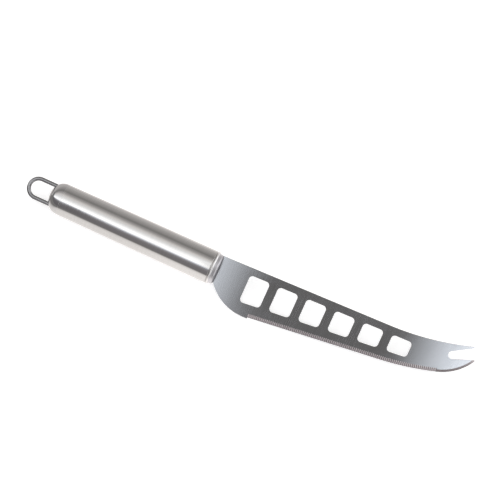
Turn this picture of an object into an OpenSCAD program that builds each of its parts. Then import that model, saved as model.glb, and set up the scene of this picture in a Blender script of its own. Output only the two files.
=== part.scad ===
// Cheese knife: a hollow round handle with a wire hanging loop, and a thin pressed blade with six
// windows, a micro-serrated edge and a two-pronged tip. All lengths are millimetres.
// The pieces are drawn in the knife's own frame: +X runs along the handle's axis towards the tip, with
// zero at the front seam, +Y points at the spine, and +Z is square to the blade. The finished knife lies
// on a table as a real one does, on its handle and on the edge of its heel.

/* [Handle tube] */
// Outer diameter of the tube at the front seam
tube_front_d = 20; // [18.5:0.5:24]
// Outer diameter of the tube at the rear seam
tube_rear_d = 19; // [17.5:0.5:22]
// Length between the middles of the two seams
tube_l = 95.4; // [70:0.2:130]
// Wall of the drawn tube
tube_wall = 1; // [0.8:0.1:1.3]

/* [Seams] */
// Width of the weld ring in each seam
seam_w = 0.6; // [0.3:0.1:0.8]
// Depth of the groove left open at the front seam
groove_depth = 0.4; // [0.2:0.1:0.6]
// Chamfer on both lips of the front groove
groove_chamfer = 0.2; // [0.1:0.05:0.3]
// Gap round each spigot inside the tube
spigot_gap = 0.1; // [0.05:0.05:0.2]

/* [Front cap] */
// Straight band of the rim, between the front seam and its rounding
front_rim_l = 0.3; // [0.3:0.1:0.6]
// Radius of the rim's rounding
front_rim_r = 0.9; // [0.7:0.1:1]
// Angle that the rim's rounding turns through
front_rim_angle = 65; // [60:1:75]
// Diameter of the boss in front of the rim, at its foot
front_boss_d = 18.4; // [18.2:0.1:18.5]
// Angle by which the boss tapers
front_boss_draft = 8; // [4:1:12]
// Length from the rim's band to the boss's face
front_boss_l = 3.6; // [3.4:0.1:4.4]
// Radius of the boss's rounded shoulder
front_shoulder_r = 1.5; // [1.2:0.1:1.8]
// Height of the crown on the face
front_crown_h = 0.3; // [0.2:0.1:0.8]
// How deep the blade's shoulders sit below the face
seat_depth = 2.2; // [1.6:0.1:2.2]
// Plate left behind the seat, which the tang passes through
front_plate_t = 1.6; // [1.2:0.1:2.5]
// Length of the spigot inside the tube
front_spigot_l = 8; // [5:0.5:12]
// Wall of the spigot
front_spigot_wall = 1.4; // [1:0.1:1.8]
// Gap round the blade and its tang in the cap
seat_gap = 0.05; // [0.03:0.01:0.1]

/* [Rear cap] */
// Radius of the rounding at the rear end
rear_round_r = 7.6; // [5:0.1:8.2]
// Straight band between the rear seam and the rounding
rear_band_l = 0.4; // [0.3:0.1:3]
// Thickness of the floor that the loop's legs pass through, on the axis
rear_floor_t = 4; // [3.5:0.1:5]
// Length of the spigot inside the tube
rear_spigot_l = 6; // [4:0.5:10]
// Wall of the spigot
rear_spigot_wall = 1; // [0.8:0.1:1.2]

/* [Hanging loop] */
// Diameter of the wire
wire_d = 2.4; // [2:0.1:2.8]
// How far the loop stands out behind the rear cap
loop_reach = 14.9; // [11:0.1:30]
// Radius of the bend, at the middle of the wire
loop_bend_r = 5.8; // [4.5:0.1:6]
// How far the wire's feet stand past the floor inside the cap
loop_foot_l = 3; // [2:0.5:6]
// Gap round each leg in its hole
leg_gap = 0.05; // [0.03:0.01:0.1]

/* [Blade] */
// Thickness of the sheet
blade_t = 1.3; // [1:0.1:2]
// Height of the spine above the axis, at the cap's face
spine_h_face = 8.9; // [7.5:0.1:9.2]
// Height of the spine above the axis, where it starts to curve
spine_h_curve = 12; // [10:0.1:15]
// Radius of the spine's curve towards the tip
spine_curve_r = 170; // [140:5:260]
// How far ahead of the belly the spine starts to curve
spine_curve_lead = 2; // [0:0.5:10]
// Depth of the heel below the axis, at its deepest
heel_depth = 18.9; // [16:0.1:22]
// Radius of the heel's curve
heel_r = 28.5; // [26:0.5:34]
// Distance from the cap's face to the deepest point of the heel
heel_l = 22.7; // [21:0.1:24]
// Blunt stretch between the heel's curve and the ground edge
choil_l = 3.9; // [2:0.1:8]
// Length of the straight part of the edge, along the axis
edge_l = 79.5; // [60:0.5:110]
// Step up from the heel to the ground edge
edge_step = 0.65; // [0.3:0.05:1]
// Depth of the edge below the axis, where the belly starts
belly_depth = 8.7; // [6:0.1:12]
// Radius of the belly
belly_r = 180; // [140:5:220]
// Slope of the edge at the end of the belly
belly_end_angle = 17.7; // [15:0.1:21]
// Radius of the curve that leads up to the lower prong
tip_r = 31; // [26:0.5:36]
// Slope of the edge at the lower prong's end
tip_end_angle = 61; // [56:1:66]

/* [Ground edge] */
// Width of the bevel along the teeth
bevel_w = 1.9; // [1.5:0.1:2.6]
// Width of the plain bevel round the tip
tip_bevel_w = 1.5; // [1:0.1:1.8]
// Steel left at the very edge
edge_land = 0.3; // [0.25:0.05:0.5]
// Distance from tooth to tooth
tooth_pitch = 1.15; // [1:0.05:2.5]
// Depth of the hollow between two teeth, at the top of the bevel
tooth_depth = 0.22; // [0.18:0.02:0.3]
// Depth of the same hollow at the very edge
tooth_edge_depth = 0.08; // [0.04:0.02:0.16]
// Flat left on the point of each tooth
tooth_flat = 0.1; // [0.05:0.01:0.2]

/* [Forked tip] */
// How far the end of the upper prong lies behind that of the lower one
prong_offset = 3.6; // [2:0.1:5]
// Width of each prong at its end
prong_end_w = 0.8; // [0.6:0.1:1.2]
// Radius of the notch's closed end
notch_r = 2.3; // [1.8:0.1:2.8]
// Distance from the middle of the mouth back to the centre of the closed end
notch_l = 11.6; // [8:0.1:14]
// Share of the blade's height, from the edge up, at which the notch starts
notch_height_share = 0.62; // [0.55:0.01:0.68]

/* [Windows] */
// Number of windows
window_count = 6; // [3:1:8]
// Distance from the cap's face to the first window
window_start = 18.3; // [15:0.1:25]
// Length of the whole row
window_row_l = 101.8; // [70:0.5:105]
// Width of the rib between two windows
rib_w = 5.4; // [4:0.1:7]
// Steel left between the row and the spine
window_spine_margin = 4.3; // [3:0.1:5.5]
// Steel left between the first window and the edge
window_edge_margin_first = 7.5; // [6:0.1:9]
// Steel left between the last window and the edge
window_edge_margin_last = 5.9; // [5:0.1:7.5]
// Radius of the windows' corners
window_corner_r = 2.2; // [1:0.1:2.5]

/* [Tang] */
// Width of the tang
tang_w = 10; // [8:0.5:11]
// Length of the tang behind the blade's shoulders
tang_l = 9; // [6:0.5:14]

/* [Weld beads] */
// Height of the two beads along the tang
tang_bead_h = 1.2; // [0.8:0.1:1.8]
// Height of the bead round each foot of the loop
foot_bead_h = 1; // [0.6:0.1:1.5]
// Width of the foot's bead at its base
foot_bead_w = 0.9; // [0.6:0.1:1]

/* [Hidden] */
$fn = 96;
// Length and angle by which every cutting shape runs past what it cuts
overrun = 2;
overrun_angle = 3;
// Length by which two cuts that meet run into each other
lap = 0.1;
// Angle between two points of a long curve, of a turned profile and of a small round corner, in degrees
curve_step = 1;
turned_step = 2;
corner_step = 7.5;

front_r = tube_front_d / 2;
rear_r = tube_rear_d / 2;
// Angle of the tube's taper, which is also how much the axis rises on the table
taper = atan((front_r - rear_r) / tube_l);
half_seam = seam_w / 2;

// Places along the axis
rim_x = half_seam + front_rim_l;
face_x = rim_x + front_boss_l;
shoulder_x = face_x - front_shoulder_r;
seat_x = face_x - seat_depth;
cavity_x = seat_x - front_plate_t;
rear_seam_x = -tube_l;
rear_round_x = rear_seam_x - half_seam - rear_band_l;
rear_face_x = rear_round_x - rear_round_r;
rear_floor_x = rear_face_x + rear_floor_t;

front_spigot_r = front_r - tube_wall - front_spigot_l * tan(taper) - spigot_gap;
rear_spigot_r = rear_r - tube_wall - spigot_gap;
rim_end = [front_r - front_rim_r * (1 - cos(front_rim_angle)), rim_x + front_rim_r * sin(front_rim_angle)];
boss_foot_r = front_boss_d / 2;
boss_foot_x = rim_end.y + (rim_end.x - boss_foot_r) / tan(front_rim_angle);
boss_taper_l = shoulder_x + front_shoulder_r * sin(front_boss_draft) - boss_foot_x;
front_face_r = boss_foot_r - boss_taper_l * tan(front_boss_draft) - front_shoulder_r * cos(front_boss_draft);
crown_r = (front_face_r * front_face_r + front_crown_h * front_crown_h) / (2 * front_crown_h);
crown_angle = asin(front_face_r / crown_r);

// The wire loop
wire_r = wire_d / 2;
bend_x = rear_face_x - loop_reach + wire_r + loop_bend_r;
leg_l = rear_floor_x + loop_foot_l - bend_x;

// The blade's outline: heel, ground edge, belly, tip, then the spine back to the cap
heel_x = face_x + heel_l;
heel_start_y = heel_r - heel_depth - sqrt(heel_r * heel_r - heel_l * heel_l);
edge_x = heel_x + choil_l;
edge_y = edge_step - heel_depth;
belly_x = edge_x + edge_l;
edge_angle = atan((-belly_depth - edge_y) / edge_l);
edge_line_l = edge_l / cos(edge_angle);
belly_c = [belly_x, -belly_depth] + belly_r * left_of(edge_angle);
tip_start = belly_c - belly_r * left_of(belly_end_angle);
tip_c = tip_start + tip_r * left_of(belly_end_angle);
lower_end = tip_c - tip_r * left_of(tip_end_angle);
spine_curve_x = belly_x - spine_curve_lead;
spine_angle = atan((spine_h_curve - spine_h_face) / (spine_curve_x - face_x));
spine_c = [spine_curve_x, spine_h_curve] + spine_curve_r * left_of(spine_angle);
upper_end_angle = asin(sin(spine_angle) + (lower_end.x - prong_offset - spine_curve_x) / spine_curve_r);
upper_end = spine_c - spine_curve_r * left_of(upper_end_angle);

// The fork's notch
mouth = (upper_end + lower_end) / 2;
notch_x = mouth.x - notch_l;
notch_low_y = edge_height(notch_x);
notch_c = [notch_x, notch_low_y + notch_height_share * (spine_height(notch_x) - notch_low_y)];
notch_angle = atan2(mouth.y - notch_c.y, mouth.x - notch_c.x);
mouth_half_w = norm(upper_end - lower_end) / 2 - prong_end_w;
notch_flare = atan((mouth_half_w - notch_r) / norm(mouth - notch_c));
notch_side_l = notch_l + notch_r + overrun;

// The teeth follow the straight edge and then the belly
teeth_l = edge_line_l + belly_r * (belly_end_angle - edge_angle) * PI / 180;
tooth_count = floor(teeth_l / tooth_pitch);
flute_w = tooth_pitch - tooth_flat;
flute_r = (flute_w * flute_w / 4 + tooth_depth * tooth_depth) / (2 * tooth_depth);
bevel_drop = blade_t - edge_land;
bevel_angle = atan(bevel_drop / bevel_w);
flute_angle = bevel_angle - atan((tooth_depth - tooth_edge_depth) / norm([bevel_w, bevel_drop]));
flute_l = bevel_w + 2 * overrun;

// The row of windows
window_x = face_x + window_start;
window_w = (window_row_l - (window_count - 1) * rib_w) / window_count;

// The resting pose: the tube lies along its side, and the heel's lower corner touches the table
axis_h = front_r * cos(taper);
heel_axis_h = (axis_h + heel_x * sin(taper)) / cos(taper);
heel_reach = norm([heel_depth, blade_t / 2]);
lie_angle = asin(heel_axis_h / heel_reach) - atan(blade_t / 2 / heel_depth);
half_t_across = blade_t / 2 * sin(lie_angle);
middle_x = (lower_end.x + rear_face_x - loop_reach) / 2;
middle_y = ((upper_end.y - heel_depth) * cos(lie_angle)) / 2;

// Unit direction to the left of a path that climbs at the given angle
function left_of(angle) = [-sin(angle), cos(angle)];

// Points of an arc about a centre, from one slope to another
function arc(centre, r, from, to, step = curve_step) =
    let (steps = ceil(abs(to - from) / step))
    [for (i = [0:steps]) centre - r * left_of(from + (to - from) * i / steps)];

// Height of the curved spine and of the tip's edge above the axis, at a place along it
function spine_height(x) = spine_c.y - sqrt(spine_curve_r * spine_curve_r - (x - spine_c.x) * (x - spine_c.x));
function edge_height(x) = tip_c.y - sqrt(tip_r * tip_r - (x - tip_c.x) * (x - tip_c.x));

// End of one of the notch's sides, at a slope, with the side of the notch that it is on
function notch_side_end(angle, side) =
    notch_c + side * notch_r * left_of(angle) + notch_side_l * [cos(angle), sin(angle)];

// Straight lines that the row of windows follows
function row_top(x) = spine_h_face + (x - face_x) * tan(spine_angle) - window_spine_margin;
function row_edge(x) = edge_y + (x - edge_x) * tan(edge_angle);
function row_bottom(x) = row_edge(x) + window_edge_margin_first
    + (window_edge_margin_last - window_edge_margin_first) * (x - window_x) / window_row_l;

// Angle that the lap takes up on an arc
function lap_angle(r) = lap / r * 180 / PI;

// Place and slope on the ground edge, at a distance along it
function on_line(l) = [edge_x, edge_y] + l * [cos(edge_angle), sin(edge_angle)];
function belly_slope(l) = edge_angle + (l - edge_line_l) / belly_r * 180 / PI;
function edge_point(l) = l < edge_line_l ? on_line(l) : belly_c - belly_r * left_of(belly_slope(l));
function edge_slope(l) = l < edge_line_l ? edge_angle : belly_slope(l);

// Turns a profile drawn as radius and place along the axis
module turned() {
    rotate([0, 90, 0])
        rotate_extrude()
            children();
}

// A profile's rectangle between two radii and two places
module band(r_in, r_out, x_from, x_to) {
    translate([r_in, x_from])
        square([r_out - r_in, x_to - x_from]);
}

module blade_outline() {
    polygon(concat(
        arc([heel_x, heel_r - heel_depth], heel_r, -asin(heel_l / heel_r), 0),
        [[edge_x, -heel_depth], [edge_x, edge_y]],
        arc(belly_c, belly_r, edge_angle, belly_end_angle),
        arc(tip_c, tip_r, belly_end_angle, tip_end_angle),
        arc(spine_c, spine_curve_r, upper_end_angle, spine_angle),
        [
            [face_x, spine_h_face], [seat_x, spine_h_face], [seat_x, tang_w / 2],
            [seat_x - tang_l, tang_w / 2], [seat_x - tang_l, -tang_w / 2],
            [seat_x, -tang_w / 2], [seat_x, heel_start_y]
        ]
    ));
}

// The tapering notch: a round closed end, and two sides that open out past the prongs
module notch_outline() {
    polygon(concat(
        arc(notch_c, notch_r, notch_angle - notch_flare, notch_angle + notch_flare - 180, corner_step),
        [
            notch_side_end(notch_angle + notch_flare, 1),
            notch_side_end(notch_angle - notch_flare, -1)
        ]
    ));
}

// One window: upright sides, and a top and bottom that follow the blade's taper
module window_outline(x) {
    r = window_corner_r;
    left = x + r;
    right = x + window_w - r;
    low_angle = atan((row_bottom(right) - row_bottom(left)) / (right - left));
    top_drop = r / cos(spine_angle);
    low_rise = r / cos(low_angle);
    polygon(concat(
        arc([left, row_bottom(left) + low_rise], r, -90, low_angle, corner_step),
        arc([right, row_bottom(right) + low_rise], r, low_angle, 90, corner_step),
        arc([right, row_top(right) - top_drop], r, 90, 180 + spine_angle, corner_step),
        arc([left, row_top(left) - top_drop], r, 180 + spine_angle, 270, corner_step)
    ));
}

// Section of what grinding takes off, drawn with the edge at zero and the blade to the left
module bevel_section(width) {
    slope = bevel_drop / width;
    polygon([
        [-width, blade_t / 2],
        [-width, blade_t / 2 + overrun],
        [overrun, blade_t / 2 + overrun],
        [overrun, edge_land - blade_t / 2 - overrun * slope]
    ]);
}

module straight_bevel() {
    translate([edge_x, edge_y, 0])
        rotate([0, 0, edge_angle])
            rotate([90, 0, 90])
                linear_extrude(edge_line_l + overrun)
                    mirror([1, 0])
                        bevel_section(bevel_w);
}

// A cone-shaped bevel round an arc of the edge, from one slope to another
module curved_bevel(centre, r, width, from, to) {
    translate(centre)
        rotate([0, 0, from - 90])
            rotate_extrude(angle = to - from)
                translate([r, 0])
                    bevel_section(width);
}

// The hollows between the teeth: one small cylinder for each, a little flatter than the bevel, so that
// it hardly marks the edge and runs out through the blade's face above the bevel
module flutes() {
    for (i = [0:tooth_count - 1]) {
        l = (i + 1 / 2) * teeth_l / tooth_count;
        translate([edge_point(l).x, edge_point(l).y, edge_land - blade_t / 2])
            rotate([0, 0, edge_slope(l)])
                rotate([flute_angle - 90, 0, 0])
                    translate([0, tooth_edge_depth - flute_r, -overrun])
                        cylinder(h = flute_l, r = flute_r, $fn = 24);
    }
}

module blade() {
    color("lightsteelblue")
    difference() {
        translate([0, 0, -blade_t / 2])
            linear_extrude(blade_t)
                difference() {
                    blade_outline();
                    notch_outline();
                    for (i = [0:window_count - 1])
                        window_outline(window_x + i * (window_w + rib_w));
                }
        straight_bevel();
        curved_bevel(belly_c, belly_r, bevel_w, edge_angle, belly_end_angle + lap_angle(belly_r));
        curved_bevel(tip_c, tip_r, tip_bevel_w, belly_end_angle - lap_angle(tip_r), tip_end_angle + overrun_angle);
        flutes();
    }
}

// The turned cap that carries the blade: spigot, rounded rim, tapering boss with a crowned face, and the
// slot for the blade, which is open towards the spine
module front_cap() {
    color("silver")
    difference() {
        turned()
            difference() {
                polygon(concat(
                    arc([0, face_x + front_crown_h - crown_r], crown_r, 180, 180 - crown_angle, turned_step),
                    arc([front_face_r, shoulder_x], front_shoulder_r, 180, 90 + front_boss_draft, turned_step),
                    [[boss_foot_r, boss_foot_x]],
                    arc([front_r - front_rim_r, rim_x], front_rim_r, 90 + front_rim_angle, 90, turned_step),
                    [
                        [front_r, half_seam + groove_chamfer], [front_r - groove_chamfer, half_seam],
                        [front_spigot_r, half_seam], [front_spigot_r, -front_spigot_l], [0, -front_spigot_l]
                    ]
                ));
                band(0, front_spigot_r - front_spigot_wall, -front_spigot_l - overrun, cavity_x);
            }
        translate([seat_x, heel_start_y - seat_gap, -blade_t / 2 - seat_gap])
            cube([seat_depth + overrun, front_r - heel_start_y + overrun, blade_t + 2 * seat_gap]);
        translate([cavity_x - overrun, -tang_w / 2 - seat_gap, -blade_t / 2 - seat_gap])
            cube([seat_depth + front_plate_t + overrun, tang_w + 2 * seat_gap, blade_t + 2 * seat_gap]);
    }
}

module handle_tube() {
    color("gainsboro")
    turned()
        polygon([
            [rear_r - tube_wall, rear_seam_x + half_seam],
            [rear_r, rear_seam_x + half_seam],
            [front_r, -half_seam - groove_chamfer],
            [front_r - groove_chamfer, -half_seam],
            [front_r - tube_wall, -half_seam]
        ]);
}

// Both legs of the loop, as rods of the given radius from the bend into the rear cap
module legs(r) {
    for (side = [-1, 1])
        translate([bend_x, side * loop_bend_r, 0])
            rotate([0, 90, 0])
                cylinder(h = leg_l, r = r);
}

module rear_cap() {
    color("silver")
    difference() {
        turned()
            difference() {
                union() {
                    band(0, rear_spigot_r, rear_seam_x - half_seam, rear_seam_x + rear_spigot_l);
                    band(0, rear_r, rear_round_x, rear_seam_x - half_seam);
                    intersection() {
                        translate([rear_r - rear_round_r, rear_round_x])
                            circle(r = rear_round_r);
                        band(0, rear_r, rear_face_x, rear_round_x);
                    }
                }
                band(0, rear_spigot_r - rear_spigot_wall, rear_floor_x, rear_seam_x + rear_spigot_l + overrun);
            }
        legs(wire_r + leg_gap);
    }
}

module hanging_loop() {
    color("darkgray")
    union() {
        translate([bend_x, 0, 0])
            rotate([0, 0, 90])
                rotate_extrude(angle = 180)
                    translate([loop_bend_r, 0])
                        circle(r = wire_r);
        legs(wire_r);
    }
}

// Two fillets of weld, one on each face of the tang, against the inside of the front cap
module tang_weld() {
    color("dimgray")
    for (side = [0, 1])
        mirror([0, 0, side])
            translate([cavity_x, tang_w / 2, blade_t / 2])
                rotate([90, 0, 0])
                    linear_extrude(tang_w)
                        polygon([[0, 0], [-tang_bead_h, 0], [0, tang_bead_h]]);
}

module front_seam_weld() {
    color("dimgray")
    turned()
        band(front_spigot_r, front_r - groove_depth, -half_seam, half_seam);
}

// The rear ring is ground flush with the handle
module rear_seam_weld() {
    color("gainsboro")
    turned()
        band(rear_spigot_r, rear_r, rear_seam_x - half_seam, rear_seam_x + half_seam);
}

module loop_weld() {
    color("dimgray")
    difference() {
        for (side = [-1, 1])
            translate([rear_floor_x, side * loop_bend_r, 0])
                rotate([0, 90, 0])
                    cylinder(h = foot_bead_h, r1 = wire_r + foot_bead_w, r2 = wire_r + leg_gap);
        legs(wire_r);
    }
}

// Lays the knife on the table, with the origin under the middle of its outline
module laid() {
    translate([-middle_x, -middle_y, axis_h])
        rotate([0, -taper, 0])
            rotate([lie_angle, 0, 0])
                children();
}

laid() blade();
laid() front_cap();
laid() handle_tube();
laid() rear_cap();
laid() hanging_loop();
laid() tang_weld();
laid() front_seam_weld();
laid() rear_seam_weld();
laid() loop_weld();
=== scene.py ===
"""Looks of the steel cheese knife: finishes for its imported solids, a pale table, soft studio light and the camera.

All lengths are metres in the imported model's frame, where the knife lies on the table along +X and +Z points up.
"""

import logging
import math
from dataclasses import dataclass, field
from enum import Enum
from typing import Iterable, Optional

import bpy
from mathutils import Matrix, Vector

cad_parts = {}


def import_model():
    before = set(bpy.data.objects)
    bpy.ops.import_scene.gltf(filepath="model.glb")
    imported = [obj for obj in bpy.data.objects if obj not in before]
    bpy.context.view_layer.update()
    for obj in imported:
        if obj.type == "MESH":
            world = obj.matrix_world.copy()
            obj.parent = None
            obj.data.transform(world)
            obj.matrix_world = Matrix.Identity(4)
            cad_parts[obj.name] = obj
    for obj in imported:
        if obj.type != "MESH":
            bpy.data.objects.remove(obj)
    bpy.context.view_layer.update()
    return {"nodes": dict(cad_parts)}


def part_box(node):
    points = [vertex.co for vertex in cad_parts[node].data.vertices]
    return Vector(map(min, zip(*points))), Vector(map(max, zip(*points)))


LOG = logging.getLogger("cheese_knife")
MM = 0.001
HALF_TURN = 180.0
Colour = tuple[float, float, float]
BLACK: Colour = (0.0, 0.0, 0.0)
WHITE: Colour = (1.0, 1.0, 1.0)
# Tints of the light from the different sides of the room
PLAIN: Colour = (1.0, 1.0, 1.0)
WARM: Colour = (1.04, 1.0, 0.975)
COOL: Colour = (0.97, 0.99, 1.06)
DUSK: Colour = (1.04, 0.985, 1.02)
# Directions in the knife's own frame
TO_TIP = (1.0, 0.0, 0.0)
TO_SPINE = (0.0, 1.0, 0.0)
OFF_FACE = (0.0, 0.0, 1.0)


class Grain(Enum):
    """Direction of the polishing lines on a finish, in the knife's own frame."""

    ALONG_HANDLE = "along"
    ACROSS_BLADE = "across"
    AROUND_HANDLE = "around"


@dataclass(frozen=True)
class KnifePlace:
    """Where the knife's own frame lies on the table: +X to the tip, +Y to the spine, +Z square to the blade."""

    tube_front_d: float = 20.0 * MM
    tube_rear_d: float = 19.0 * MM
    tube_l: float = 95.4 * MM
    half_seam: float = 0.3 * MM
    heel_x: float = 26.9 * MM
    heel_depth: float = 18.9 * MM
    blade_t: float = 1.3 * MM

    @property
    def taper(self) -> float:
        """Returns the angle by which the handle's axis rises towards the tip, in radians."""
        return math.atan((self.tube_front_d - self.tube_rear_d) / 2 / self.tube_l)

    @property
    def axis_height(self) -> float:
        """Returns the height of the handle's axis over the table at the front seam."""
        return self.tube_front_d / 2 * math.cos(self.taper)

    @property
    def lie_angle(self) -> float:
        """Returns the angle between the blade and the table, in radians."""
        heel_h = (self.axis_height + self.heel_x * math.sin(self.taper)) / math.cos(self.taper)
        reach = math.hypot(self.heel_depth, self.blade_t / 2)
        return math.asin(heel_h / reach) - math.atan(self.blade_t / 2 / self.heel_depth)

    def matrix(self) -> Matrix:
        """Finds the transform from the knife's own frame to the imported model's frame.

        Returns:
            A 4 by 4 matrix whose origin is the handle's axis at the front seam.
        """
        low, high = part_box("handle_tube")
        turn = Matrix.Rotation(-self.taper, 4, "Y") @ Matrix.Rotation(self.lie_angle, 4, "X")
        seam_x = high.x + self.half_seam
        axis_y = (low.y + high.y) / 2
        return Matrix.Translation(Vector((seam_x, axis_y, self.axis_height))) @ turn

    def direction(self, own: tuple[float, float, float]) -> Vector:
        """Returns a direction of the knife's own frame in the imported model's frame."""
        return self.matrix().to_3x3() @ Vector(own)


class NodeTree:
    """A small helper that adds and links shader nodes from left to right."""

    column_width: int = 220
    # Sockets of the mix node that hold its two colours and the mixed one
    mix_first: int = 6
    mix_second: int = 7
    mix_result: int = 2

    def __init__(self, tree: bpy.types.NodeTree) -> None:
        """Empties the tree.

        Args:
            tree: the node tree of a material or of the world.
        """
        self.tree = tree
        tree.nodes.clear()
        self.column = 0

    def add(self, kind: str, **settings: object) -> bpy.types.Node:
        """Adds one node.

        Args:
            kind: the node's type name.
            settings: attributes of the node to set.

        Returns:
            The new node.
        """
        node = self.tree.nodes.new(kind)
        node.location = (self.column_width * self.column, 0)
        self.column += 1
        for name, value in settings.items():
            setattr(node, name, value)
        return node

    def link(self, source: bpy.types.NodeSocket, target: bpy.types.NodeSocket) -> None:
        """Links an output socket to an input socket."""
        self.tree.links.new(source, target)

    def end(self, shader: bpy.types.NodeSocket, kind: str = "ShaderNodeOutputMaterial") -> None:
        """Links the finished shader to the tree's output."""
        self.link(shader, self.add(kind).inputs["Surface"])

    def axes(self, source: bpy.types.NodeSocket) -> bpy.types.NodeOutputs:
        """Splits a vector.

        Args:
            source: the vector.

        Returns:
            The outputs with its X, Y and Z.
        """
        node = self.add("ShaderNodeSeparateXYZ")
        self.link(source, node.inputs[0])
        return node.outputs

    def math(self, operation: str, *inputs: object) -> bpy.types.NodeSocket:
        """Adds a maths node.

        Args:
            operation: the operation's name.
            inputs: sockets or plain numbers.

        Returns:
            The node's output socket.
        """
        node = self.add("ShaderNodeMath", operation=operation)
        for place, value in enumerate(inputs):
            if isinstance(value, bpy.types.NodeSocket):
                self.link(value, node.inputs[place])
            else:
                node.inputs[place].default_value = value
        return node.outputs[0]

    def dot(self, source: bpy.types.NodeSocket, direction: Vector) -> bpy.types.NodeSocket:
        """Measures a vector along a fixed direction.

        Args:
            source: the vector.
            direction: a unit direction.

        Returns:
            The length along that direction.
        """
        node = self.add("ShaderNodeVectorMath", operation="DOT_PRODUCT")
        node.inputs[1].default_value = direction
        self.link(source, node.inputs[0])
        return node.outputs["Value"]

    def noise(
        self, where: bpy.types.NodeSocket, scale: float, detail: float, harshness: float = 0.5
    ) -> bpy.types.NodeSocket:
        """Adds a noise.

        Args:
            where: the place of each point.
            scale: how many waves there are per metre.
            detail: how many finer layers it has.
            harshness: how strong the finer layers are.

        Returns:
            The noise's value.
        """
        node = self.add("ShaderNodeTexNoise")
        node.inputs["Scale"].default_value = scale
        node.inputs["Detail"].default_value = detail
        node.inputs["Roughness"].default_value = harshness
        self.link(where, node.inputs["Vector"])
        return node.outputs[0]

    def ramp(
        self, source: bpy.types.NodeSocket, stops: Iterable[tuple[float, Colour]]
    ) -> bpy.types.NodeSocket:
        """Adds a colour ramp with straight changes.

        Args:
            source: the factor, from 0 to 1.
            stops: places with their colours, in order.

        Returns:
            The ramp's colour output.
        """
        node = self.add("ShaderNodeValToRGB")
        ramp = node.color_ramp
        ramp.interpolation = "LINEAR"
        stops = list(stops)
        for element, (at, colour) in ((ramp.elements[0], stops[0]), (ramp.elements[1], stops[-1])):
            element.position = at
            element.color = (*colour, 1.0)
        for at, colour in stops[1:-1]:
            ramp.elements.new(at).color = (*colour, 1.0)
        self.link(source, node.inputs[0])
        return node.outputs[0]

    def mix(
        self, factor: bpy.types.NodeSocket, first: bpy.types.NodeSocket, second: Colour
    ) -> bpy.types.NodeSocket:
        """Mixes a colour socket with a plain colour.

        Args:
            factor: share of the plain colour.
            first: the colour socket.
            second: the plain colour.

        Returns:
            The mixed colour.
        """
        node = self.add("ShaderNodeMix", data_type="RGBA")
        self.link(factor, node.inputs["Factor"])
        self.link(first, node.inputs[self.mix_first])
        node.inputs[self.mix_second].default_value = (*second, 1.0)
        return node.outputs[self.mix_result]

    def mix_shaders(
        self, factor: bpy.types.NodeSocket, first: bpy.types.NodeSocket, second: bpy.types.NodeSocket
    ) -> bpy.types.NodeSocket:
        """Mixes two shaders.

        Args:
            factor: share of the second shader.
            first: the first shader.
            second: the second shader.

        Returns:
            The mixed shader.
        """
        node = self.add("ShaderNodeMixShader")
        for place, source in enumerate((factor, first, second)):
            self.link(source, node.inputs[place])
        return node.outputs[0]

    def remap(
        self,
        source: bpy.types.NodeSocket,
        low: float,
        high: float,
        to_low: float,
        to_high: float,
        smooth: bool = True,
    ) -> bpy.types.NodeSocket:
        """Maps a value from one range to another.

        Args:
            source: the value.
            low: start of the source range.
            high: end of the source range.
            to_low: result at the start.
            to_high: result at the end.
            smooth: whether the change eases in and out.

        Returns:
            The mapped value.
        """
        node = self.add("ShaderNodeMapRange", interpolation_type="SMOOTHSTEP" if smooth else "LINEAR")
        for place, value in enumerate((low, high, to_low, to_high), start=1):
            node.inputs[place].default_value = value
        self.link(source, node.inputs[0])
        return node.outputs[0]

    def plateau(
        self, source: bpy.types.NodeSocket, start: float, full: float, fades: float, gone: float
    ) -> bpy.types.NodeSocket:
        """Makes a share that rises softly from 0 to 1 and later falls back to 0.

        Args:
            source: the value that it follows.
            start: the value at which it starts to rise.
            full: the value at which it has reached 1.
            fades: the value at which it starts to fall.
            gone: the value at which it is 0 again.

        Returns:
            The share.
        """
        rise = self.remap(source, start, full, 0.0, 1.0)
        return self.math("MULTIPLY", rise, self.remap(source, fades, gone, 1.0, 0.0))


def new_material(name: str) -> tuple[bpy.types.Material, NodeTree]:
    """Makes an empty material.

    Args:
        name: the material's name.

    Returns:
        The material and the helper for its nodes.
    """
    material = bpy.data.materials.new(name)
    material.use_nodes = True
    return material, NodeTree(material.node_tree)


def put_on(piece: bpy.types.Object, material: bpy.types.Material) -> None:
    """Puts a material on every slot of a piece.

    Args:
        piece: the object to dress.
        material: its material.
    """
    for slot in piece.material_slots:
        slot.material = material
    LOG.info("%s wears %s", piece.name, material.name)


def stage_sheet(name: str, outline: Iterable[Iterable[float]], material: bpy.types.Material) -> bpy.types.Object:
    """Makes a flat sheet of the stage.

    Args:
        name: the sheet's name.
        outline: its four corners, in order.
        material: its material.

    Returns:
        The stage object.
    """
    mesh = bpy.data.meshes.new(name)
    mesh.from_pydata(list(outline), [], [(0, 1, 2, 3)])
    mesh.materials.append(material)
    sheet = bpy.data.objects.new(name, mesh)
    bpy.context.scene.collection.objects.link(sheet)
    LOG.info("%s is part of the stage", name)
    return sheet


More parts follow.
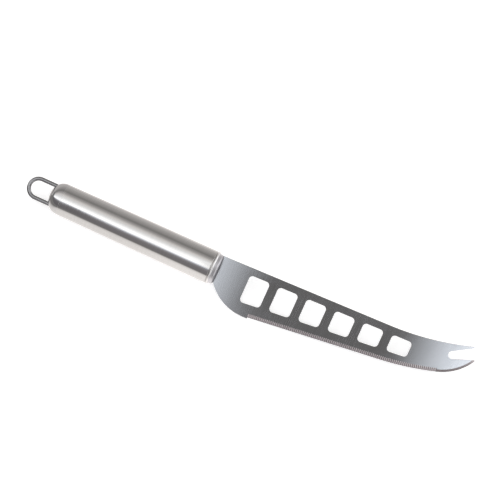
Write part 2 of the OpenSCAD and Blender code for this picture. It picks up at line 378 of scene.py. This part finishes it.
@dataclass(frozen=True)
class SteelFinish:
    """A polished or brushed stainless steel, with fine grain, soft smudges and eased edges."""

    name: str
    colour: Colour
    roughness: float
    grain: Grain
    # Size and form of the grain's lines, and how far they move the roughness, the shade and the surface
    grain_per_mm: float = 5.0
    grain_stretch: float = 60.0
    grain_detail: float = 3.0
    grain_harshness: float = 0.6
    grain_range: tuple[float, float] = (0.3, 0.7)
    grain_roughness: float = 0.05
    grain_shade: float = 0.03
    grain_depth: float = 0.4e-6
    grain_strength: float = 0.5
    # Size and form of the smudges, and how far they move the roughness
    smudge_size: float = 22.0 * MM
    smudge_detail: float = 2.0
    smudge_range: tuple[float, float] = (0.35, 0.65)
    smudge_roughness: float = 0.03
    anisotropy: float = 0.0
    edge_radius: float = 0.08 * MM
    edge_samples: int = 4
    # Colour of all that isn't flat like the blade's two faces, and between which slants it takes over
    ground_colour: Optional[Colour] = None
    flat_range: tuple[float, float] = (0.93, 0.97)
    # Painted highlight and painted shade: colours at places along the knife, from the front seam on
    painted_light_bands: tuple[tuple[float, Colour], ...] = ()

    def grain_scale(self) -> Vector:
        """Returns the scale of the grain's noise along the knife's own axes, per metre."""
        fine = self.grain_per_mm / MM
        coarse = fine / self.grain_stretch
        return Vector((coarse, fine, fine) if self.grain is Grain.ALONG_HANDLE else (fine, coarse, coarse))

    def build(self, place: KnifePlace) -> bpy.types.Material:
        """Makes the material.

        Args:
            place: where the knife lies, which sets the direction of the grain.

        Returns:
            The new material.
        """
        material, t = new_material(self.name)
        where = t.add("ShaderNodeTexCoord").outputs["Object"]
        turned = t.add("ShaderNodeMapping", vector_type="TEXTURE")
        turned.inputs["Rotation"].default_value = (place.lie_angle, -place.taper, 0.0)
        t.link(where, turned.inputs["Vector"])
        stretched = t.add("ShaderNodeMapping")
        stretched.inputs["Scale"].default_value = self.grain_scale()
        t.link(turned.outputs[0], stretched.inputs["Vector"])
        lines = t.noise(stretched.outputs[0], 1.0, self.grain_detail, self.grain_harshness)
        smudges = t.noise(turned.outputs[0], 1.0 / self.smudge_size, self.smudge_detail)
        fine = t.remap(lines, *self.grain_range, -self.grain_roughness, self.grain_roughness)
        broad = t.remap(smudges, *self.smudge_range, -self.smudge_roughness, self.smudge_roughness)
        roughness = t.math("ADD", t.math("ADD", fine, broad), self.roughness)
        shade = t.remap(lines, *self.grain_range, 1.0 - self.grain_shade, 1.0 + self.grain_shade)
        colour = t.add("ShaderNodeVectorMath", operation="SCALE")
        colour.inputs[0].default_value = self.colour
        if self.ground_colour:
            t.link(self.ground_tint(t, place), colour.inputs[0])
        # Paints highlight and shade along the knife into the colour, band by band
        if self.painted_light_bands:
            t.link(self.paint_band_light(t, place, where), colour.inputs[0])
        t.link(shade, colour.inputs["Scale"])
        steel = t.add("ShaderNodeBsdfPrincipled")
        steel.inputs["Metallic"].default_value = 1.0
        steel.inputs["Anisotropic"].default_value = self.anisotropy
        t.link(colour.outputs[0], steel.inputs["Base Color"])
        t.link(roughness, steel.inputs["Roughness"])
        t.link(self.eased_edges(t, lines), steel.inputs["Normal"])
        if self.anisotropy:
            t.link(self.grain_direction(t, place), steel.inputs["Tangent"])
        t.end(steel.outputs[0])
        return material

    def eased_edges(self, t: NodeTree, lines: bpy.types.NodeSocket) -> bpy.types.NodeSocket:
        """Rounds the sharp edges off and lays the grain over them.

        Args:
            t: the material's nodes.
            lines: the grain's lines.

        Returns:
            The surface's direction at each place.
        """
        eased = t.add("ShaderNodeBevel", samples=self.edge_samples)
        eased.inputs["Radius"].default_value = self.edge_radius
        bump = t.add("ShaderNodeBump")
        bump.inputs["Strength"].default_value = self.grain_strength
        bump.inputs["Distance"].default_value = self.grain_depth
        t.link(lines, bump.inputs["Height"])
        t.link(eased.outputs[0], bump.inputs["Normal"])
        return bump.outputs[0]

    def grain_direction(self, t: NodeTree, place: KnifePlace) -> bpy.types.NodeSocket:
        """Gives the direction that a brushed finish's highlight is drawn out from.

        Args:
            t: the material's nodes.
            place: where the knife lies.

        Returns:
            The direction, the same at each place.
        """
        direction = place.direction(TO_SPINE if self.grain is Grain.ACROSS_BLADE else TO_TIP)
        tangent = t.add("ShaderNodeCombineXYZ")
        for socket, share in zip(tangent.inputs, direction):
            socket.default_value = share
        return tangent.outputs[0]

    def ground_tint(self, t: NodeTree, place: KnifePlace) -> bpy.types.NodeSocket:
        """Gives the ground bevel and the cut walls their own, warmer colour than the two flat faces.

        Args:
            t: the material's nodes.
            place: where the knife lies.

        Returns:
            The colour of the bare steel at each place.
        """
        faces = t.add("ShaderNodeNewGeometry")
        flat = t.math("ABSOLUTE", t.dot(faces.outputs["True Normal"], place.direction(OFF_FACE)))
        plain = t.add("ShaderNodeRGB")
        plain.outputs[0].default_value = (*self.colour, 1.0)
        return t.mix(t.remap(flat, *self.flat_range, 1.0, 0.0), plain.outputs[0], self.ground_colour)

    def paint_band_light(self, t: NodeTree, place: KnifePlace, where: bpy.types.NodeSocket) -> bpy.types.NodeSocket:
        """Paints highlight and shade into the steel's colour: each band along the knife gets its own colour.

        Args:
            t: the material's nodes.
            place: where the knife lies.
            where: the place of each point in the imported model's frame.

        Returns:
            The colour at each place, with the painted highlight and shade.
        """
        from_seam = t.add("ShaderNodeVectorMath", operation="SUBTRACT")
        from_seam.inputs[1].default_value = place.matrix().translation
        t.link(where, from_seam.inputs[0])
        last = self.painted_light_bands[-1][0]
        share = t.math("DIVIDE", t.dot(from_seam.outputs[0], place.direction(TO_TIP)), last)
        return t.ramp(share, [(at / last, colour) for at, colour in self.painted_light_bands])


@dataclass
class Blade:
    """The pressed and ground blade."""

    node: str = "blade"
    finish: SteelFinish = SteelFinish(
        name="blade_brushed_steel",
        colour=(0.530, 0.558, 0.603),
        roughness=0.2,
        grain=Grain.ACROSS_BLADE,
        anisotropy=0.3,
        ground_colour=(0.595, 0.55, 0.568),
    )

    def dress(self, nodes: dict[str, bpy.types.Object], place: KnifePlace) -> None:
        """Gives the blade its finish."""
        put_on(nodes[self.node], self.finish.build(place))


@dataclass
class Handle:
    """The tube and the rear seam, satin polished, the rear cap, polished brighter, and the turned front cap."""

    tube_nodes: tuple[str, ...] = ("handle_tube", "rear_seam_weld")
    tube_finish: SteelFinish = SteelFinish(
        name="handle_satin_steel",
        colour=(0.625, 0.62, 0.615),
        roughness=0.10,
        grain=Grain.AROUND_HANDLE,
        grain_stretch=40.0,
    )
    rear_node: str = "rear_cap"
    rear_finish: SteelFinish = SteelFinish(
        name="cap_polished_steel",
        colour=(0.60, 0.597, 0.60),
        roughness=0.05,
        grain=Grain.AROUND_HANDLE,
        grain_stretch=40.0,
        grain_roughness=0.02,
        smudge_roughness=0.02,
    )
    front_node: str = "front_cap"
    # Its bands: a painted highlight on the rim, the boss in its own colour, and painted shade on the shoulder and face
    front_finish: SteelFinish = SteelFinish(
        name="cap_turned_steel",
        colour=(0.64, 0.635, 0.665),
        roughness=0.42,
        grain=Grain.AROUND_HANDLE,
        grain_stretch=40.0,
        edge_radius=0.1 * MM,
        painted_light_bands=(
            (0.0, (0.88, 0.87, 0.87)),
            (1.2 * MM, (0.88, 0.87, 0.87)),
            (1.5 * MM, (0.64, 0.635, 0.665)),
            (3.2 * MM, (0.64, 0.635, 0.665)),
            (3.7 * MM, (0.40, 0.39, 0.41)),
            (5.0 * MM, (0.40, 0.39, 0.41)),
        ),
    )

    def dress(self, nodes: dict[str, bpy.types.Object], place: KnifePlace) -> None:
        """Gives the handle's pieces their finishes.

        Args:
            nodes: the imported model's nodes.
            place: where the knife lies.
        """
        steel = self.tube_finish.build(place)
        for name in self.tube_nodes:
            put_on(nodes[name], steel)
        put_on(nodes[self.rear_node], self.rear_finish.build(place))
        put_on(nodes[self.front_node], self.front_finish.build(place))


@dataclass
class HangingLoop:
    """The bent wire at the handle's rear end."""

    node: str = "hanging_loop"
    finish: SteelFinish = SteelFinish(
        name="loop_drawn_wire",
        colour=(0.28, 0.28, 0.288),
        roughness=0.28,
        grain=Grain.ALONG_HANDLE,
        grain_per_mm=9.0,
        edge_radius=0.02 * MM,
    )

    def dress(self, nodes: dict[str, bpy.types.Object], place: KnifePlace) -> None:
        """Gives the wire its finish."""
        put_on(nodes[self.node], self.finish.build(place))


@dataclass
class Welds:
    """The welds inside the caps and at the bottom of the front groove."""

    inner_nodes: tuple[str, ...] = ("tang_weld", "loop_weld")
    inner_finish: SteelFinish = SteelFinish(
        name="weld_dark_steel",
        colour=(0.20, 0.19, 0.185),
        roughness=0.45,
        grain=Grain.AROUND_HANDLE,
        grain_per_mm=3.0,
        grain_stretch=2.0,
        grain_depth=20e-6,
        edge_radius=0.05 * MM,
    )
    seam_node: str = "front_seam_weld"
    seam_finish: SteelFinish = SteelFinish(
        name="seam_ground_steel",
        colour=(0.46, 0.45, 0.445),
        roughness=0.35,
        grain=Grain.AROUND_HANDLE,
        grain_stretch=20.0,
        edge_radius=0.05 * MM,
    )

    def dress(self, nodes: dict[str, bpy.types.Object], place: KnifePlace) -> None:
        """Gives the welds their finishes.

        Args:
            nodes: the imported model's nodes.
            place: where the knife lies.
        """
        weld = self.inner_finish.build(place)
        for name in self.inner_nodes:
            put_on(nodes[name], weld)
        put_on(nodes[self.seam_node], self.seam_finish.build(place))


@dataclass
class Table:
    """The pale table. Polished steel sees it pale near the knife and darker further off, like a room round a table."""

    half_size: float = 3.0
    colour: Colour = (0.9, 0.9, 0.9)
    lift: float = 0.45
    # What polished steel sees: full shade up to near, the far shade from far on, and another one behind the knife
    near: float = 20.0 * MM
    far: float = 162.0 * MM
    behind_far: float = 85.0 * MM
    near_shade: float = 1.04
    far_shade: float = 0.27
    behind_shade: float = 0.60
    # It is brighter under the handle's front end: where this starts along X, where it is full, and by how much
    front_start: float = -85.0 * MM
    front_full: float = -32.0 * MM
    front_gain: float = 1.13
    # Distance counts from the handle's line, and past the handle's ends it grows faster
    handle_middle: float = -69.0 * MM
    half_length: float = 48.0 * MM
    end_gain: float = 4.0

    def build(self) -> bpy.types.Object:
        """Makes the table top.

        Returns:
            The stage object.
        """
        s = self.half_size
        return stage_sheet("table", [(-s, -s, 0), (s, -s, 0), (s, s, 0), (-s, s, 0)], self.surface())

    def surface(self) -> bpy.types.Material:
        """Makes the table's material.

        Returns:
            A matt white that shows as white, keeps the shadow, and dims with distance in reflections.
        """
        material, t = new_material("table_white")
        rays = t.add("ShaderNodeLightPath")
        matt = t.add("ShaderNodeBsdfDiffuse")
        matt.inputs["Color"].default_value = (*self.colour, 1.0)
        lift = t.add("ShaderNodeEmission")
        lift.inputs["Strength"].default_value = self.lift
        seen = t.add("ShaderNodeAddShader")
        t.link(matt.outputs[0], seen.inputs[0])
        t.link(lift.outputs[0], seen.inputs[1])
        lit = t.mix_shaders(rays.outputs["Is Camera Ray"], matt.outputs[0], seen.outputs[0])
        mirrored = t.add("ShaderNodeEmission")
        mirrored.inputs["Color"].default_value = (*WARM, 1.0)
        t.link(self.mirrored_shade(t), mirrored.inputs["Strength"])
        t.end(t.mix_shaders(rays.outputs["Is Glossy Ray"], lit, mirrored.outputs[0]))
        return material

    def mirrored_shade(self, t: NodeTree) -> bpy.types.NodeSocket:
        """Sets how bright the table is in reflections.

        Args:
            t: the material's nodes.

        Returns:
            The brightness at each place.
        """
        axes = t.axes(t.add("ShaderNodeNewGeometry").outputs["Position"])
        along = t.math("ABSOLUTE", t.math("SUBTRACT", axes[0], self.handle_middle))
        past = t.math("MULTIPLY", t.math("MAXIMUM", t.math("SUBTRACT", along, self.half_length), 0.0), self.end_gain)
        across = axes[1]
        distance = t.math("SQRT", t.math("ADD", t.math("MULTIPLY", past, past), t.math("MULTIPLY", across, across)))
        before = t.remap(distance, self.near, self.far, self.near_shade, self.far_shade)
        behind = t.remap(distance, self.near, self.behind_far, self.near_shade, self.behind_shade, smooth=False)
        is_behind = t.math("GREATER_THAN", across, 0.0)
        more = t.math("MULTIPLY", t.math("SUBTRACT", behind, before), is_behind)
        front = t.remap(axes[0], self.front_start, self.front_full, 1.0, self.front_gain)
        return t.math("MULTIPLY", t.math("ADD", before, more), front)


@dataclass(frozen=True)
class TentWall:
    """A wall of the tent across the knife's length: where it starts and is full, in shares of a unit direction."""

    start: float
    full: float
    brightness: float


@dataclass
class Studio:
    """A soft light tent round the table, and a dark flag that shades the middle of the blade's reflection."""

    ceiling_gain: float = 2.0
    # Light seen in each direction round the knife's axis, in degrees up from the table's near side
    ring: tuple[tuple[float, float, Colour], ...] = (
        (-180.0, 0.65, WARM),
        (-150.0, 0.75, WARM),
        (-90.0, 0.80, PLAIN),
        (-20.0, 0.50, PLAIN),
        (0.0, 0.23, DUSK),
        (20.0, 0.25, DUSK),
        (29.0, 0.31, DUSK),
        (36.0, 0.49, COOL),
        (43.0, 1.25, COOL),
        (48.0, 1.75, PLAIN),
        (60.0, 1.75, PLAIN),
        (67.0, 1.48, PLAIN),
        (78.0, 1.10, PLAIN),
        (92.0, 0.90, WARM),
        (109.0, 0.49, WARM),
        (127.0, 0.26, WARM),
        (147.0, 0.40, WARM),
        (170.0, 0.53, WARM),
        (180.0, 0.65, WARM),
    )
    # The tent's grey, white and dark walls beyond the tip, from the side to the end, and its dark end at the rear
    tip_walls: tuple[TentWall, ...] = (
        TentWall(0.17, 0.25, 0.40),
        TentWall(0.42, 0.52, 1.6),
        TentWall(0.92, 0.99, 0.20),
    )
    rear_wall: TentWall = TentWall(0.93, 0.995, 0.22)
    # The bright window's lower edge rises at its rear end: where this starts and is full towards the rear, between
    # which degrees it fades out upwards, by how many degrees it rises, and how much darker it gets under the edge
    low_edge_along: tuple[float, float] = (0.142, 0.178)
    low_edge_round: tuple[float, float] = (42.0, 55.0)
    low_edge_rise: float = 7.0
    low_edge_dim: float = 0.20
    # Its upper edge is higher near the front: where this starts, is full, fades and is gone towards the front, the
    # same four in degrees round the axis, and by how many degrees it is higher
    top_edge_along: tuple[float, float, float, float] = (0.112, 0.068, 0.05, 0.03)
    top_edge_round: tuple[float, float, float, float] = (62.0, 72.0, 84.0, 104.0)
    top_edge_rise: float = 7.0
    # How dense the flag is at each place along the knife, in mm
    flag_cover: tuple[tuple[float, float], ...] = (
        (-42.0, 0.0),
        (-33.0, 0.22),
        (-25.0, 0.55),
        (-20.0, 0.58),
        (-13.0, 0.68),
        (-6.5, 0.85),
        (-1.8, 0.95),
        (3.0, 0.98),
        (8.0, 1.0),
        (100.0, 1.0),
        (110.0, 0.97),
        (114.0, 0.94),
        (120.0, 0.81),
        (124.0, 0.70),
        (133.5, 0.515),
        (138.0, 0.39),
        (143.0, 0.28),
        (147.5, 0.16),
        (152.6, 0.06),
        (158.0, 0.0),
    )
    # Between which shares of the flag's width, from its middle, it thins out
    flag_fade: tuple[float, float] = (0.3, 0.5)
    flag_height: float = 0.15
    flag_half_width: float = 0.075
    flag_drop: float = 0.018
    flag_shade: Colour = (0.182, 0.167, 0.153)
    flag_hidden_from: tuple[str, ...] = ("camera", "diffuse", "shadow", "transmission", "volume_scatter")
    blade_middle: Vector = field(default_factory=lambda: Vector((0.070, -0.002, 0.008)))

    def light_tent(self) -> None:
        """Makes the world: white to the camera, and a ring of soft zones to everything else."""
        world = bpy.data.worlds.new("light_tent")
        bpy.context.scene.world = world
        world.use_nodes = True
        t = NodeTree(world.node_tree)
        tent = t.add("ShaderNodeBackground")
        tent.inputs["Strength"].default_value = self.ceiling_gain
        t.link(self.zones(t), tent.inputs["Color"])
        white = t.add("ShaderNodeBackground")
        white.inputs["Color"].default_value = (*WHITE, 1.0)
        white.inputs["Strength"].default_value = 1.0
        rays = t.add("ShaderNodeLightPath")
        seen = t.mix_shaders(rays.outputs["Is Camera Ray"], tent.outputs[0], white.outputs[0])
        t.end(seen, "ShaderNodeOutputWorld")
        LOG.info("%s is hung", world.name)

    def zones(self, t: NodeTree) -> bpy.types.NodeSocket:
        """Lays out the tent's zones of light.

        Args:
            t: the world's nodes.

        Returns:
            The tent's colour in each direction, as a share of the ceiling's gain.
        """
        axes = t.axes(t.add("ShaderNodeTexCoord").outputs["Generated"])
        tipward = axes[0]
        rearward = t.math("MULTIPLY", tipward, -1.0)
        angle = t.math("ARCTAN2", axes[2], t.math("MULTIPLY", axes[1], -1.0))
        low_edge = t.math(
            "MULTIPLY",
            t.remap(rearward, *self.low_edge_along, 0.0, 1.0),
            t.remap(angle, *map(math.radians, self.low_edge_round), 1.0, 0.0),
        )
        top_edge = t.math(
            "MULTIPLY",
            t.plateau(rearward, *self.top_edge_along),
            t.plateau(angle, *map(math.radians, self.top_edge_round)),
        )
        for edge, rise in ((low_edge, self.low_edge_rise), (top_edge, self.top_edge_rise)):
            angle = t.math("SUBTRACT", angle, t.math("MULTIPLY", edge, math.radians(rise)))
        turn = t.math("ADD", t.math("DIVIDE", angle, 2 * math.pi), 0.5)
        stops = [
            ((at + HALF_TURN) / (2 * HALF_TURN), tuple(value * part / self.ceiling_gain for part in tint))
            for at, value, tint in self.ring
        ]
        zones = t.mix(t.math("MULTIPLY", low_edge, self.low_edge_dim), t.ramp(turn, stops), BLACK)
        for way, wall in [(tipward, wall) for wall in self.tip_walls] + [(rearward, self.rear_wall)]:
            share = t.remap(way, wall.start, wall.full, 0.0, 1.0)
            zones = t.mix(share, zones, (wall.brightness / self.ceiling_gain,) * 3)
        return zones

    def flag(self, place: KnifePlace) -> bpy.types.Object:
        """Makes the dark flag, which only reflections see.

        Args:
            place: where the knife lies.

        Returns:
            The stage object.
        """
        across = place.direction(TO_SPINE)
        middle = self.blade_middle + place.direction(OFF_FACE) * self.flag_height - across * self.flag_drop
        start, end = self.flag_cover[0][0] * MM, self.flag_cover[-1][0] * MM
        outline = [
            Vector((x, middle.y, middle.z)) + Vector((0, across.y, across.z)) * side * self.flag_half_width
            for x, side in ((start, -1), (end, -1), (end, 1), (start, 1))
        ]
        flag = stage_sheet("flag", outline, self.flag_cloth())
        for sight in self.flag_hidden_from:
            setattr(flag, "visible_" + sight, False)
        return flag

    def flag_cloth(self) -> bpy.types.Material:
        """Makes the flag's cloth.

        Returns:
            A dark material that thins out towards all its edges.
        """
        material, t = new_material("flag_cloth")
        axes = t.axes(t.add("ShaderNodeTexCoord").outputs["Generated"])
        start, end = self.flag_cover[0][0], self.flag_cover[-1][0]
        along = t.ramp(axes[0], [((at - start) / (end - start), (value,) * 3) for at, value in self.flag_cover])
        off_middle = t.math("ABSOLUTE", t.math("SUBTRACT", axes[1], 0.5))
        cover = t.math("MULTIPLY", along, t.remap(off_middle, *self.flag_fade, 1.0, 0.0))
        clear = t.add("ShaderNodeBsdfTransparent")
        cloth = t.add("ShaderNodeEmission")
        cloth.inputs["Color"].default_value = (*self.flag_shade, 1.0)
        t.end(t.mix_shaders(cover, clear.outputs[0], cloth.outputs[0]))
        return material


@dataclass(frozen=True)
class ViewFit:
    """The photograph's camera, found from the handle's outline and the blade's: pixels in a 500 by 500 image."""

    image_px: float = 500.0
    focal_px: float = 1400.0
    seam_px: tuple[float, float] = (212.0, 267.2)
    axis_slope: float = 0.45302
    px_per_mm: float = 1.715
    tip_nearer: float = math.radians(2.0)
    spine_side: float = math.radians(3.0)
    sensor_mm: float = 36.0
    nearest: float = 0.05
    furthest: float = 20.0

    def own_axes(self) -> Matrix:
        """Finds the knife's own axes as the camera sees them.

        Returns:
            A 3 by 3 matrix with a row for each of the knife's axes: its shares right, down and forward.
        """
        beta = math.atan(self.axis_slope)
        along = Vector(
            (
                math.cos(self.tip_nearer) * math.cos(beta),
                math.cos(self.tip_nearer) * math.sin(beta),
                -math.sin(self.tip_nearer),
            )
        )
        level = Vector((-math.sin(beta), math.cos(beta), 0.0))
        down = math.cos(self.spine_side) * level + math.sin(self.spine_side) * along.cross(level)
        away = along.cross(down)
        return Matrix((along, -down, -away))

    def seam_place(self) -> Vector:
        """Returns the place of the handle's axis at the front seam, as the camera sees it: right, down and forward."""
        middle = self.image_px / 2
        distance = self.focal_px / self.px_per_mm * MM
        right, down = ((at - middle) * distance / self.focal_px for at in self.seam_px)
        return Vector((right, down, distance))

    def build(self, place: KnifePlace) -> bpy.types.Object:
        """Makes the camera and makes it the scene's camera.

        Args:
            place: where the knife lies.

        Returns:
            The camera object.
        """
        to_own = self.own_axes()
        turn = place.matrix().to_3x3() @ to_own
        eye = place.matrix() @ (to_own @ -self.seam_place())
        # A camera looks along its own -Z, with +Y up
        flip = Matrix(((1, 0, 0), (0, -1, 0), (0, 0, -1)))
        data = bpy.data.cameras.new("camera")
        data.sensor_width = self.sensor_mm
        data.lens = self.focal_px / self.image_px * self.sensor_mm
        data.clip_start = self.nearest
        data.clip_end = self.furthest
        camera = bpy.data.objects.new("camera", data)
        camera.matrix_world = Matrix.Translation(eye) @ (turn @ flip).to_4x4()
        bpy.context.scene.collection.objects.link(camera)
        bpy.context.scene.camera = camera
        LOG.info("%s stands %.0f mm from the seam", camera.name, self.seam_place().length / MM)
        return camera


def main() -> None:
    """Builds the scene in order."""
    logging.basicConfig(level=logging.INFO, format="%(name)s: %(message)s")
    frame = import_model()
    place = KnifePlace()
    for part in (Blade(), Handle(), HangingLoop(), Welds()):
        part.dress(frame["nodes"], place)
    Table().build()
    studio = Studio()
    studio.light_tent()
    studio.flag(place)
    ViewFit().build(place)
    bpy.context.scene.view_settings.view_transform = "Standard"
    LOG.info("all pieces are dressed")


if __name__ == "__main__":
    main()
